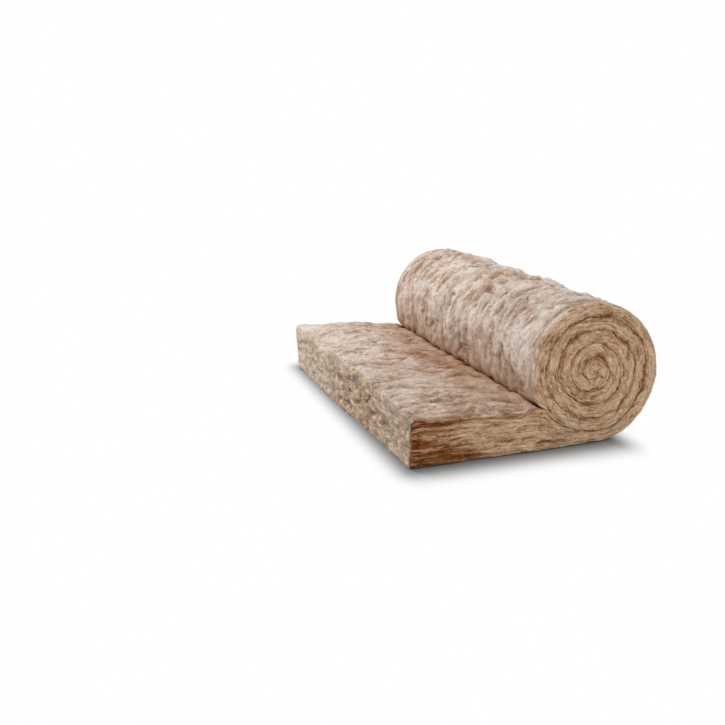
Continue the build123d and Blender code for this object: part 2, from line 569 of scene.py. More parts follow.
# %% Apply the skin's relief to the skin and the rims
reach = 0.034             # how far in the relief has faded to nothing
far_away = 1.0            # stands for the distance from an outside that a vertex isn't near
from_outside = np.where(first_turn, t * wound, far_away)
from_top = np.where(on_top, (1 - t) * height, far_away)
from_cut = np.where(in_run, s, far_away)
skin_zone = first_turn & (from_outside < reach)
top_zone = on_top & (from_top < reach)
cut_zone = in_run & (from_cut < reach)


def fade_out(distance):
    """1 on the outside, falling to 0 at the reach."""
    return 1 - smooth(distance, 0, reach)


lift_roll = where(skin_zone, roll_skin, s, y) * fade_out(from_outside) * smooth(z, 0.003, 0.05)
lift_roll *= 1 - smooth(s, nip_s - 0.001, nip_s + 0.03)
lift_top = where(top_zone, laid_top, s, y) * fade_out(from_top)
fine_cut = where(cut_zone, cut_tufts, y, z) * fade_out(from_cut)
lift_cut = fine_cut + where(cut_zone, cut_forms, y, z) * fade_out(from_cut)
print("skin moves", round(float(lift_roll.min()), 4), "to", round(float(lift_roll.max()), 4))

# %% Round the cut end's top edge and draw in the nip
corner_round = 0.016      # how far from the corner the cut end's top edge begins to round
corner_depth = 0.32 * corner_round
nip_reach = 0.006         # how far from the nip its crease is felt
nip_in, nip_down = 0.002, 0.001


def rounded_off(distance):
    """How far the corner's rounding draws the wool in, at this distance from it."""
    return corner_depth * np.clip(1 - distance / corner_round, 0, 1) ** 2


corner_drop = rounded_off(from_cut) * fade_out(from_top)
corner_back = rounded_off(from_top) * fade_out(from_cut)
move = np.zeros_like(spot)
move[:, 0] = lift_roll * out_x / out - lift_cut + corner_back
move[:, 2] = lift_roll * out_z / out + lift_top - corner_drop
nip_pull = np.exp(-np.hypot(x - nip_x, z - nip_z) / nip_reach)
move[:, 0] += nip_in * nip_pull
move[:, 2] -= nip_down * nip_pull
print("corner drops up to", round(float(corner_drop.max()) * 1000, 1), "mm")

# %% [markdown]
# ## The ends' relief
# On a slit edge each turn is a soft rounded band. The seam beside the outer turn gapes from the nip
# round to the right, and the others are pressed nearly shut. Inside a band, thin layers of wool
# stand out as wavy broken lines, and small tufts stick out between them. A bump in the material
# could draw all this, but not the shade that collects in gaps as deep as these.

# %% Distances on the slit edges
run_edge_round = 0.005    # rounding where the laid part's slit edge meets its top
roll_edge_round = 0.009   # rounding where the roll's end meets its skin
turn_round = 0.004        # rounding of a turn's edge inside the roll

outline_gap = np.minimum(from_outside, np.where(in_run, np.minimum(s, t * height), far_away))
outline_gap = np.minimum(outline_gap, from_top)
run_gap = np.where(x > nip_x, (1 - t) * height, far_away)
turn_gap = np.where(in_run, run_gap, np.minimum(t, 1 - t) * wound)
turn_gap = np.where(on_seam, 0.0, turn_gap)
turn_gap = np.where(first_turn & (t < 0.5), far_away, turn_gap)
in_roll_share = smooth(s, nip_x - cut_x, floor_run + 0.05)
edge_round = run_edge_round + (roll_edge_round - run_edge_round) * in_roll_share


def rounding(gap, radius):
    """Depth below a face of a quarter-round edge."""
    share = np.clip(gap / radius, 0, 1)
    return radius * (1 - np.sqrt(np.maximum(1 - (1 - share) ** 2, 0)))


def seam_depth(s, turn_gap, side):
    """The dark gap between two turns: deep at the nip, fainter with each turn inwards."""
    gap_width = 0.0019 * (1 + 0.5 * noise(s / 0.06, side * 3.3, 51))
    open_share = 0.95 - 0.75 * smooth(s, floor_run - 0.05, floor_run + 0.55)
    uneven = 0.20 + 1.00 * smooth(noise(s / 0.07, side * 5.3, 52), -0.35, 0.40)
    uneven = uneven + (1 - uneven) * np.maximum(open_share, 0)
    return 0.008 * np.clip(open_share, 0.32, 1) * uneven * line(turn_gap, gap_width)


# %% The layers of wool
def layer_bands(s, t, side, lines):
    """Thin layers of wool, as -1 in the broken gaps between them and 1 on their broken crests."""
    place = lines * t + side * 0.37 + 0.65 * noise(s / 0.070, t * 2.1, 53)
    place = place + 0.50 * noise(s / 0.022, t * 4.0, 54)
    part = place - np.floor(place)
    gap_here = smooth(noise(s / 0.030, place * 0.9, 55), -0.15, 0.40)
    crest_here = smooth(noise(s / 0.021, place * 0.9, 56), -0.10, 0.40)
    return line(np.minimum(part, 1 - part), 0.22) * crest_here - line(part - 0.5, 0.17) * gap_here


mean_height = 0.135       # of the laid part


def end_relief(s, t, side, in_roll_share):
    """How far the layers stand out of the end, without the seams."""
    roll_bands = layer_bands(s, t, side, 3.4)
    run_bands = layer_bands(s * 0.55 + 3, t, side, 9.0)
    bands = roll_bands * in_roll_share + run_bands * (1 - in_roll_share)
    turn_arch = (0.4 - (2 * t - 1) ** 2) * in_roll_share * (0.6 + noise(s / 0.09, side * 3.1, 58))
    depth = t * (wound * in_roll_share + mean_height * (1 - in_roll_share))
    tufts = 0.0024 * fractal(s / 0.017, depth / 0.0085, 2, 57)
    swell = 0.0032 * noise(s / 0.11, depth / 0.030, 59)
    swell = swell + 0.0022 * noise(s / 0.045, depth / 0.014, 60)
    return 0.0027 * bands + 0.0030 * turn_arch + tufts + swell


def turn_stands_out(s, side):
    """How far each turn as a whole stands out of the end or lies back in it."""
    return 0.0030 * noise(s / 0.22, side * 2.7, 61)


# %% Depth of the slit edges
end_offset = -0.001       # mean depth of the relief below the solid's own end face
side_shift = 11.7         # the two slit edges read the same noise this far apart
tuft_x, tuft_z, tuft_size, tuft_out = -0.026, 0.0165, 0.012, 0.010       # one loose tuft, low down
pit_x, pit_z, pit_width, pit_height, pit_depth = 0.2765, 0.240, 0.006, 0.017, 0.009
flare_out, flare_reach = 0.022, 0.22      # the far slit edge flares out beside the cut end

on_near_end = on_end & (side < 0)
layers_out = where(on_end, end_relief, s + side * side_shift, t, side, in_roll_share)
layers_out += tuft_out * line(np.hypot(x - tuft_x, z - tuft_z), tuft_size) * on_near_end
seams = where(on_end, seam_depth, s, turn_gap, side)
from_pit = np.hypot((x - pit_x) / pit_width, (z - pit_z) / pit_height)
seams += pit_depth * line(from_pit, 1.0) * on_near_end
turn_push = where(on_end, turn_stands_out, s, side)
inside = smooth(np.minimum(turn_gap, outline_gap), 0.0, 0.003)
rim = rounding(outline_gap, edge_round) + 0.6 * rounding(turn_gap, turn_round)
recess = end_offset + rim + seams + turn_push - layers_out * (0.25 + 0.75 * inside)
far_flare = flare_out * np.exp(-s / flare_reach) * in_run * (y > 0)
recess = recess - far_flare
rim_recess = end_offset + edge_round - far_flare
from_end = half_width - np.abs(y)
rim_reach = 0.06          # how far from the ends the skin still follows the rim
recess = np.where(on_end, recess, rim_recess * (1 - smooth(from_end, 0, rim_reach)))
move[:, 1] = -side * recess
print("ends moved", round(float(recess[on_end].min()), 4), "to", round(float(recess[on_end].max()), 4))

# %% [markdown]
# ## Apply the relief
# The ends are also swayed a little in their own plane, so that the turns aren't true circles. The
# sway grows from nothing at the rim, which keeps the outline where the skin's relief put it.

# %% Move the vertices
sway_share = smooth(outline_gap, 0.0, 0.05)
sway_reach = 0.0045
sway_shift = 5            # the two directions read the same noise this far apart
foot_reach = 0.05         # how far from the ends the rim's foot is drawn up
foot_lift = 0.005


def sway(x, z, side):
    """How far a spot of the end sways, about -1 to 1."""
    broad = noise(x / 0.085, z / 0.085 + side * 4, 71)
    fine = noise(x / 0.032, z / 0.032 + side * 4, 72)
    return broad + 0.65 * fine


move[:, 0] += sway_reach * sway_share * where(on_end, sway, x, z, side)
move[:, 2] += sway_reach * sway_share * where(on_end, sway, x + sway_shift, z, side)
finished = spot + move
foot = smooth(0.012 - z, 0, 0.006) * smooth(np.abs(y), half_width - foot_reach, half_width)
finished[:, 2] += foot * foot_lift * (0.5 + 0.5 * noise(x / 0.05, side * 7.7, 73))
finished[:, 2] = np.maximum(finished[:, 2], 0)
put(wool, finished)
print("moved up to", round(float(np.abs(move).max()) * 1000, 1), "mm")

# %% [markdown]
# ## What the material needs to know
# The wool's colour varies: it is stained here and there, and it is painted browner in hollows and
# paler on crests, as painted shade and painted highlights. All this could be painted by hand, but
# numbers kept with the vertices follow the relief exactly. Five are kept: how much a vertex lies in a
# hollow or on a crest, whether it is on a slit edge, whether it is on the cut end, how light or dark
# the wool is painted there, from stains and from painted shade and light, and whether it is wound in.
# The slit wool is darkest at the corner beside the cut end, and the skin is painted palest at the far
# corner, away from the roll, as painted light.

# %% Hollows, crests and shares
hollow_roll, hollow_top, hollow_cut = 0.0085, 0.0075, 0.0065    # relief that counts as 1 there
hollow_layers, hollow_seams = 0.0035, 0.0040
top_middle = -0.002       # the laid top's relief is counted from here
fine_roll = lift_roll - where(skin_zone, roll_forms, s, y)
fine_top = lift_top - where(top_zone, laid_forms, s, y)
skin_relief = fine_roll / hollow_roll + (fine_top - top_middle) / hollow_top + fine_cut / hollow_cut
relief = np.where(on_end, layers_out / hollow_layers - seams / hollow_seams, skin_relief)
ragged = 0.0035 * noise(s / 0.022, side * 2.2, 74)
edge_share = np.where(on_end, smooth(outline_gap + ragged, 0.0005, 0.0045), 0.0)
cut_share = np.where(in_run & (s < 0.002) & ~on_end, 1.0, 0.0)
print("relief", relief.min().round(2), "to", relief.max().round(2))

# %% Light and dark places of the slit edges
stains = (                  # on a slit edge: x, z, radius, tone
    (0.202, 0.254, 0.022, -0.9),
    (0.153, 0.121, 0.022, -0.6),
    (0.162, 0.220, 0.024, 0.6),
    (tuft_x, tuft_z, tuft_size, 2.0),
)
blotch = noise(x / 0.09, z / 0.05, 75)
laid = in_run * (1 - in_roll_share)
slit_tone_and_shade = -1.45 * np.exp(-np.maximum(s - 0.03 + 0.04 * blotch, 0) / 0.085) * in_run
slit_tone_and_shade += 0.40 * line(x + 0.14, 0.10) * line(z - 0.085, 0.035) * in_run
top_line = line(from_top - 0.008, 0.009)
# Painted shade along the foot of the laid slit edge, and a darker line just below its top.
slit_tone_and_shade -= 0.30 * laid * (1 - smooth(z, 0.01, 0.05)) + 0.40 * laid * top_line
outer_turn = first_turn * (t < 0.5) * smooth(s, floor_run - 0.10, floor_run + 0.05)
slit_tone_and_shade += 0.45 * outer_turn * (1 - smooth(s, turn_one - 0.15, turn_one + 0.10))
high_shade = 0.12 - 0.28 * smooth(z, 0.22, 0.38)
slit_tone_and_shade += 0.15 * laid * smooth(s, 0.12, 0.30) + in_roll_share * high_shade
# Painted light on the middle of each turn and painted shade in the gaps between turns.
turn_light = 0.5 + 0.5 * noise(s / 0.10, side * 4.1, 62)
turn_shade = 0.60 * smooth(turn_gap, 0.005, 0.014) - 0.60 * line(turn_gap, 0.0035)
slit_tone_and_shade += in_roll_share * turn_light * turn_shade
for stain_x, stain_z, stain_size, stain_tone in stains:
    slit_tone_and_shade += stain_tone * line(np.hypot(x - stain_x, z - stain_z) + 0.006 * blotch, stain_size)
print("slit edges, tone", slit_tone_and_shade[on_end].min().round(2), "to", slit_tone_and_shade[on_end].max().round(2))

# %% Light and dark places of the skin
# Painted shade in the crease where the flat run meets the roll.
painted_nip_shade = line(np.hypot(x - nip_x, z - nip_z), 0.012)
skin_blotch = noise(s / 0.13, y / 0.17, 76)
# The laid top is painted paler towards the far corner, away from the roll, and darker near the roll,
# as painted light and shade. It is also paler along the near edge and the cut end's top edge, and
# darker in random blotches.
top_tone_and_light = 0.50 * smooth(y, -0.1, 0.55) * (1 - smooth(s, 0.12, 0.40))
top_tone_and_light -= 0.55 * smooth(s, 0.12, 0.38)
top_tone_and_light += 0.25 * np.exp(-(half_width + y) / 0.12) - 0.20 * smooth(skin_blotch, 0.0, 0.5)
top_tone_and_light += 0.85 * np.exp(-s / 0.014) - 0.15
# The roll's skin is painted darker towards the nip, as painted shade, darker on the torn patch, and
# darker towards its far end, as painted shade.
roll_tone_and_shade = -1.45 * np.exp(-np.maximum(nip_s - s, 0) / 0.070) - 0.45 * torn_share(s, y)
far_shade = 0.28 * smooth(y, 0.05, 0.5) * (s < nip_s - 0.2)
roll_tone_and_shade += 0.18 - 0.12 * smooth(skin_blotch, 0.0, 0.5) - far_shade
cut_tone = -0.25 * smooth(y, 0.1, 0.6) - 0.20 * line(y + 0.1, 0.35)
cut_tone = cut_tone * (cut_share > 0.5)
skin_tone_and_shade = top_tone_and_light * on_top + roll_tone_and_shade * first_turn + cut_tone - 2.2 * painted_nip_shade
tone_and_shade = np.where(on_end, slit_tone_and_shade, skin_tone_and_shade)
print("tone_and_shade", tone_and_shade.min().round(2), "to", tone_and_shade.max().round(2))


# %% Keep the numbers as attributes
def keep(obj, name, values):
    """Keeps one number with each vertex."""
    attribute = obj.data.attributes.new(name, "FLOAT", "POINT")
    attribute.data.foreach_set("value", values.astype(np.float32))


keep(wool, "relief", relief)
keep(wool, "slit", edge_share)
keep(wool, "cut", cut_share)
keep(wool, "tone_and_shade", tone_and_shade)
keep(wool, "wound_in", np.where(in_run, smooth(s, nip_x - cut_x, floor_run), 1.0))
print("five numbers kept for each of", count, "vertices")

# %% [markdown]
# ## A second map, across the skin
# The first map holds along and through. The skin's pattern needs along and across, so it has a map
# of its own. Object coordinates would do on the laid part, but would cut through the roll's turns.

# %% The across map
WIDTH_MAP = "across"
keep_map(wool, WIDTH_MAP, blanket[:, 0], spot[corner, 1])
print("maps", [layer.name for layer in wool.data.uv_layers])

# %% [markdown]
# ## Three closed pieces
# One mesh this fine would be too heavy to hand on, so the two slit edges come off as pieces of
# their own. Each open rim is then extruded into the wool and closed with a flat face, where nobody
# sees it, so all three are solids that meet face to face. The rim itself stays a sharp line.

# %% Where a hidden face lies
cap_depth = 0.050         # how far the hidden faces lie inside the ends
cap_inset = 0.022         # how far they stop short of the skin
tucked = spot.copy()
roll_side = first_turn & (t < 0.5)
flat_x = np.maximum(x, cut_x + cap_inset)
flat_height = np.where(flat_x < nip_x, run_height(flat_x), left_underside(flat_x))
flat_z = np.clip(z, cap_inset, np.maximum(flat_height - cap_inset, cap_inset))
tucked[:, 0] = np.where(roll_side, x - cap_inset * out_x / out, flat_x)
tucked[:, 2] = np.where(roll_side, z - cap_inset * out_z / out, flat_z)
tucked[:, 1] = side * (half_width - cap_depth)
keep_place = wool.data.attributes.new("tucked", "FLOAT_VECTOR", "POINT")
keep_place.data.foreach_set("vector", tucked.astype(np.float32).ravel())
print("hidden faces", round(half_width - cap_depth, 3), "m from the middle")


# %% Split and close
merge_tucked = 0.0001     # tucked vertices nearer than this become one


def split_off(name, faces):
    """Takes these faces out of the wool as an object of their own."""
    select(wool, faces=faces)
    bpy.ops.mesh.separate(type="SELECTED")
    leave_edit_mode()
    piece = next(obj for obj in bpy.context.selected_objects if obj is not wool)
    piece.name = name
    return piece


def close_rim(obj, side):
    """Extrudes the open rim on one side into the wool, and closes it with a flat face."""
    rim = open_edges(obj) & (places(obj)[edge_ends(obj)[:, 0], 1] * side > 0)
    select(obj, edges=rim)
    bpy.ops.mesh.mark_sharp()
    bpy.ops.mesh.extrude_region_move()
    leave_edit_mode()
    moved = read(obj.data.vertices, "select", 1, bool).ravel()
    spot = places(obj)
    spot[moved] = read(obj.data.attributes["tucked"].data, "vector", 3)[moved]
    put(obj, spot)
    bpy.ops.object.mode_set(mode="EDIT")
    bpy.ops.mesh.remove_doubles(threshold=merge_tucked)
    bpy.ops.mesh.edge_face_add()
    leave_edit_mode()


def faces_of(obj, vertices):
    """True for each face whose corners are all among these vertices."""
    sizes = read(obj.data.polygons, "loop_total", 1, np.int32).ravel()
    of_face = np.repeat(np.arange(len(sizes)), sizes)
    return np.bincount(of_face, weights=vertices[loop_vertices(obj)]) == sizes


# %% The pieces
keep(wool, "end_side", np.where(on_end, side, 0.0))
slit_edges = []
for name, end_side in (("slit_edge_near", -1), ("slit_edge_far", 1)):
    this_end = read(wool.data.attributes["end_side"].data, "value", 1).ravel() == end_side
    slit_edges.append(split_off(name, faces_of(wool, this_end)))
    close_rim(slit_edges[-1], end_side)
for end_side in (-1, 1):
    close_rim(wool, end_side)
wool.name = "skin"
for piece in (wool, *slit_edges):
    face_outwards(piece)
    bpy.ops.object.shade_smooth()
    triangles = sum(read(piece.data.polygons, "loop_total", 1, np.int32).ravel() - 2)
    print(piece.name, triangles, "triangles, open edges:", int(open_edges(piece).sum()))

# %% [markdown]
# ## The wool material
# One material serves the whole blanket. Brown layers show on the slit edges, torn pale tufts on the
# cut end, and a soft pinkish skin covers the rest. Hollows are painted browner, as painted shade,
# and crests are painted paler, as painted highlights.

# %% Screen colours
def screen(red, green, blue):
    """A screen colour, 0 to 255, as the shader wants it."""
    parts = []
    for value in (red / 255, green / 255, blue / 255):
        parts.append(value / 12.92 if value < 0.04045 else ((value + 0.055) / 1.055) ** 2.4)
    return (*parts, 1.0)


print("mid grey is", round(screen(128, 128, 128)[0], 3), "to the shader")


# %% A short way to write nodes
class Nodes:
    """Short calls for the few kinds of nodes that the wool needs."""

    def __init__(self, material):
        self.tree = material.node_tree

    def new(self, kind, **settings):
        """One node, with its settings."""
        node = self.tree.nodes.new(kind)
        for name, value in settings.items():
            setattr(node, name, value)
        return node

    def feed(self, socket, value):
        """Links an output to a socket, or sets the socket to a plain value."""
        if isinstance(value, bpy.types.NodeSocket):
            self.tree.links.new(value, socket)
        elif value is not None:
            socket.default_value = value

    def math(self, operation, first, second=None, clamp=False):
        """One operation on one or two values."""
        node = self.new("ShaderNodeMath", operation=operation, use_clamp=clamp)
        for socket, value in zip(node.inputs, (first, second)):
            self.feed(socket, value)
        return node.outputs[0]

    def span(self, value, low, high, out_low=0.0, out_high=1.0):
        """Rises smoothly from one value at low to the other at high."""
        node = self.new("ShaderNodeMapRange", interpolation_type="SMOOTHSTEP")
        names = ("Value", "From Min", "From Max", "To Min", "To Max")
        for name, item in zip(names, (value, low, high, out_low, out_high)):
            self.feed(node.inputs[name], item)
        return node.outputs["Result"]

    def mix(self, share, first, second, blend="MIX"):
        """The first colour, with this share of the second laid over it."""
        node = self.new("ShaderNodeMix", data_type="RGBA", blend_type=blend)
        self.feed(node.inputs[0], share)
        self.feed(node.inputs[6], first)
        self.feed(node.inputs[7], second)
        return node.outputs[2]

    def noise(self, vector, scale, detail=3.0, rough=0.55, distortion=0.0, stretch=None, shift=0.0):
        """A noise, which lies about its middle value of 0.5."""
        if stretch is not None:
            vector = self.stretch(vector, stretch, shift)
        node = self.new("ShaderNodeTexNoise", noise_dimensions="3D")
        self.feed(node.inputs["Vector"], vector)
        self.feed(node.inputs["Scale"], scale)
        self.feed(node.inputs["Detail"], detail)
        self.feed(node.inputs["Roughness"], rough)
        self.feed(node.inputs["Distortion"], distortion)
        return node.outputs["Fac"]

    def stretch(self, vector, scale, shift=0.0):
        """The coordinates, with a scale of their own for each axis."""
        node = self.new("ShaderNodeMapping", vector_type="POINT")
        self.feed(node.inputs["Vector"], vector)
        self.feed(node.inputs["Scale"], scale)
        self.feed(node.inputs["Location"], (0, 0, shift))
        return node.outputs["Vector"]

    def lines(self, value, reach):
        """1 where a noise crosses its middle value, falling off on both sides."""
        away = self.math("ABSOLUTE", self.math("SUBTRACT", value, 0.5))
        return self.span(away, 0.0, reach, 1.0, 0.0)

    def ramp(self, value, colours):
        """A row of screen colours, spread evenly from 0 to 1."""
        node = self.new("ShaderNodeValToRGB")
        stops = node.color_ramp.elements
        while len(stops) < len(colours):
            stops.new(0.5)
        for number, colour in enumerate(colours):
            stops[number].position = number / (len(colours) - 1)
            stops[number].color = screen(*colour)
        self.feed(node.inputs[0], value)
        return node.outputs["Color"]

    def add(self, *parts, start=0.55):
        """The sum of values, each with its own weight and counted from its own middle."""
        total = start
        for value, middle, weight in parts:
            part = self.math("MULTIPLY", self.math("SUBTRACT", value, middle), weight)
            total = self.math("ADD", part, total)
        return total

    def attribute(self, name):
        return self.new("ShaderNodeAttribute", attribute_name=name).outputs["Fac"]

    def map(self, name):
        return self.new("ShaderNodeUVMap", uv_map=name).outputs["UV"]


# %% [markdown]
# ## Colours of the slit wool
# The layers are long thin noises on the blanket's own map, so they follow every turn into the eye.
# The roll's turns are thin and the laid part is thick, so the map is read at two thicknesses.

# %% Slit wool
def slit_colour(n, spot, relief):
    """Brown and straw layers, with pale and dark threads between them."""
    depth_map = n.map(BLANKET_MAP)
    wound_in = n.attribute("wound_in")

    def layered(run_stretch, roll_stretch, distortion=0.7, shift=0.0):
        """One noise along the layers, for the laid part and for the roll."""
        in_run = n.noise(depth_map, 1.0, 4.0, 0.6, distortion, run_stretch, shift)
        in_roll = n.noise(depth_map, 1.0, 4.0, 0.6, distortion, roll_stretch, shift)
        return n.mix(wound_in, in_run, in_roll)

    broad = layered((6, 11, 1), (17, 2.4, 1))
    fine = layered((17, 27, 1), (40, 6, 1))
    pale_thread = n.lines(layered((24, 15, 1), (34, 4.2, 1), 1.2, 3.0), 0.052)
    dark_thread = n.lines(layered((16, 13, 1), (28, 3.8, 1), 1.0, 7.0), 0.022)
    speck = n.noise(spot, 170.0, 3.0, 0.62)
    patch = n.noise(spot, 11.0, 2.0, 0.5)
    # The relief's share in the level is painted shade in hollows and painted highlight on crests.
    level = n.add(
        (broad, 0.49, 1.15), (fine, 0.49, 1.6), (speck, 0.49, 1.1),
        (pale_thread, 0.05, 0.42), (dark_thread, 0.1, -0.20),
        (n.span(relief, -1.5, 1.2, -1.0, 1.0), 0.1, 0.36),
    )
    colour = n.ramp(level, [
        (127, 88, 57), (171, 127, 89), (213, 167, 127), (242, 201, 161), (255, 224, 190),
    ])
    olive = n.mix(1.0, colour, screen(242, 228, 192), blend="MULTIPLY")
    colour = n.mix(n.span(patch, 0.50, 0.72, 0.0, 0.25), colour, olive)
    bump = n.math("ADD", broad, fine)
    bump = n.math("ADD", bump, n.math("MULTIPLY", n.math("SUBTRACT", pale_thread, dark_thread), 0.5))
    return colour, bump


# %% [markdown]
# ## Colours of the skin
# The skin is a thin pale haze of fibres over brown wool. One noise could not show that, so the
# colour is laid on in coats: broad clouds, streaks round the roll, threads, painted shade in hollows,
# painted highlights on crests, single grains and painted shade in fine creases. Each coat has its
# own colour and the share that it covers.

# %% Skin
def skin_colour(n, spot, relief):
    """A pinkish haze over brown wool, laid on in coats."""
    width_map = n.map(WIDTH_MAP)
    cloud = n.noise(spot, 6.5, 4.0, 0.6)
    grain = n.noise(spot, 120.0, 4.0, 0.65)
    smear = n.noise(width_map, 1.0, 5.0, 0.64, 0.9, (15, 30, 1))
    streak = n.noise(width_map, 1.0, 4.0, 0.6, 0.5, (4, 40, 1), 2.0)
    thread = n.lines(n.noise(width_map, 1.0, 4.0, 0.65, 1.6, (22, 40, 1)), 0.035)
    crease = n.lines(n.noise(width_map, 1.0, 3.0, 0.6, 0.8, (9, 20, 1), 5.0), 0.024)
    crease_place = n.noise(width_map, 1.0, 2.0, 0.5, 0.5, (8, 8, 1), 9.0)
    crease = n.math("MULTIPLY", crease, n.span(crease_place, 0.48, 0.60))
    coats = (
        (n.span(cloud, 0.44, 0.66, 0.0, 0.45), (214, 184, 168)),
        (n.span(cloud, 0.44, 0.30, 0.0, 0.50), (166, 138, 102)),
        (n.span(streak, 0.50, 0.64, 0.0, 0.40), (238, 225, 214)),
        (n.span(streak, 0.48, 0.35, 0.0, 0.34), (142, 108, 80)),
        (n.math("MULTIPLY", thread, 0.45), (236, 222, 208)),
        # Painted shade in hollows and painted highlights on crests.
        (n.span(relief, 0.0, -1.1, 0.0, 0.75), (132, 86, 50)),
        (n.span(relief, 0.2, 1.3, 0.0, 0.60), (244, 235, 228)),
        (n.span(grain, 0.53, 0.66, 0.0, 0.46), (248, 240, 234)),
        (n.span(grain, 0.46, 0.33, 0.0, 0.46), (120, 86, 58)),
        # Painted shade in fine creases.
        (n.math("MULTIPLY", crease, 0.22), (140, 98, 66)),
    )
    colour = n.mix(n.span(smear, 0.41, 0.59), screen(162, 126, 98), screen(228, 208, 195))
    for share, tint in coats:
        colour = n.mix(share, colour, screen(*tint))
    bump = n.math("ADD", smear, n.math("MULTIPLY", thread, 0.35))
    return colour, n.math("SUBTRACT", bump, n.math("MULTIPLY", crease, 0.20))


# %% [markdown]
# ## Colours of the cut end
# Where the wool is torn across, tufts of all the layers lie open at once. Small flat tufts and fine
# specks are added up, and one row of colours goes from the dark pits to the pale tips. The relief
# adds painted shade in the pits and painted highlights on the tips.

# %% Torn wool
def cut_colour(n, spot, relief):
    """Pale tips of tufts over brown pits, with painted shade in the pits."""
    tuft = n.noise(spot, 1.0, 4.0, 0.65, 1.0, (30, 26, 40))
    speck = n.noise(spot, 1.0, 4.0, 0.70, 0.8, (120, 130, 110))
    # The relief darkens pits and lightens tips, as painted shade and painted highlight.
    hollow = n.span(relief, -1.6, 1.4, -1.0, 1.0)
    level = n.add((tuft, 0.55, 1.9), (speck, 0.51, 2.9), (hollow, 0.32, 0.36))
    colour = n.ramp(level, [
        (82, 48, 20), (126, 87, 50), (162, 126, 86), (192, 160, 121), (237, 214, 188),
    ])
    # Painted shade deep in the pits.
    colour = n.mix(n.span(relief, -0.5, -2.2, 0.0, 0.75), colour, screen(106, 68, 34))
    return colour, n.math("ADD", tuft, n.math("MULTIPLY", speck, 0.8))


# %% [markdown]
# ## The wool as one material
# The three finishes could be three materials, but then they would meet in hard lines. In one
# material the kept shares blend them. Dark places, from stains and painted shade alike, are
# multiplied by a warm brown, which keeps them from turning grey, and pale places, partly painted
# light, are mixed towards a pale tint.

# %% Dark and pale places
def shaded(n, colour, slit, tone_and_shade):
    """The colour, darkened where the kept value is below 0 and paler where it is above; the value
    holds stains, painted shade and painted light.
    """
    dark_tint = n.mix(slit, screen(209, 170, 131), screen(176, 132, 76))
    light_tint = n.mix(slit, screen(228, 217, 208), screen(246, 216, 184))
    strata = n.noise(n.map(BLANKET_MAP), 1.0, 3.0, 0.6, 0.6, (5, 13, 1))
    strata_share = n.mix(slit, (1, 1, 1, 1), n.span(strata, 0.44, 0.57, 1.55, 0.40))
    dark = n.mix(1.0, colour, dark_tint, blend="MULTIPLY")
    darkness = n.math("MULTIPLY", tone_and_shade, -1.0, clamp=True)
    colour = n.mix(n.math("MULTIPLY", darkness, strata_share, clamp=True), colour, dark)
    deep = n.mix(1.0, colour, screen(180, 136, 80), blend="MULTIPLY")
    depth = n.span(tone_and_shade, -0.7, -2.0)
    colour = n.mix(n.math("MULTIPLY", depth, strata_share, clamp=True), colour, deep)
    return n.mix(n.math("MULTIPLY", tone_and_shade, 0.50, clamp=True), colour, light_tint)


# %% The wool
def wool_material():
    """All three finishes, with a fibrous bump."""
    material = bpy.data.materials.new("mineral_wool")
    material.use_nodes = True
    n = Nodes(material)
    shader = material.node_tree.nodes["Principled BSDF"]
    spot = n.new("ShaderNodeTexCoord").outputs["Object"]
    relief, slit, cut, tone_and_shade = (n.attribute(name) for name in ("relief", "slit", "cut", "tone_and_shade"))

    slit_paint, slit_bump = slit_colour(n, spot, relief)
    skin_paint, skin_bump = skin_colour(n, spot, relief)
    cut_paint, cut_bump = cut_colour(n, spot, relief)
    colour = n.mix(cut, skin_paint, cut_paint)
    colour = n.mix(slit, colour, slit_paint)
    n.feed(shader.inputs["Base Color"], shaded(n, colour, slit, tone_and_shade))
    shader.inputs["Roughness"].default_value = 0.95
    shader.inputs["Specular IOR Level"].default_value = 0.12
    shader.inputs["Sheen Weight"].default_value = 0.04
    shader.inputs["Sheen Roughness"].default_value = 0.6

    grain = n.noise(spot, 330.0, 4.0, 0.65)
    bumps = n.mix(slit, n.mix(cut, skin_bump, cut_bump), slit_bump)
    bumps = n.math("ADD", bumps, n.math("MULTIPLY", grain, 0.6))
    bump = n.new("ShaderNodeBump")
    bump.inputs["Strength"].default_value = 0.9
    bump.inputs["Distance"].default_value = 0.004
    n.feed(bump.inputs["Height"], bumps)
    n.feed(shader.inputs["Normal"], bump.outputs["Normal"])
    return material


wool_finish = wool_material()
for piece in (wool, *slit_edges):
    piece.data.materials.clear()
    piece.data.materials.append(wool_finish)
print("wool material", len(wool_finish.node_tree.nodes), "nodes")

# %% [markdown]
# ## Ride on the frame
# The three pieces together stand for the plain solid of the imported model, and move with its body.
# Each one is attached to the body, and the solid is hidden.

# %% Ride and replace
for piece in (wool, *slit_edges):
    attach(piece, "root")
    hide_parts(NODE)
    print(piece.name, "rides and replaces", NODE)

# %% [markdown]
# ## The floor
# The blanket lies on a plain white ground, with a soft shadow close to it. A white plane alone would
# show a horizon. So the floor turns to a plain white glow a little way off, and beside the wool a
# painted shadow makes it darker for the camera alone, which makes the shadow firm and keeps the
# light on the wool.

# %% Floor
floor_size = 40

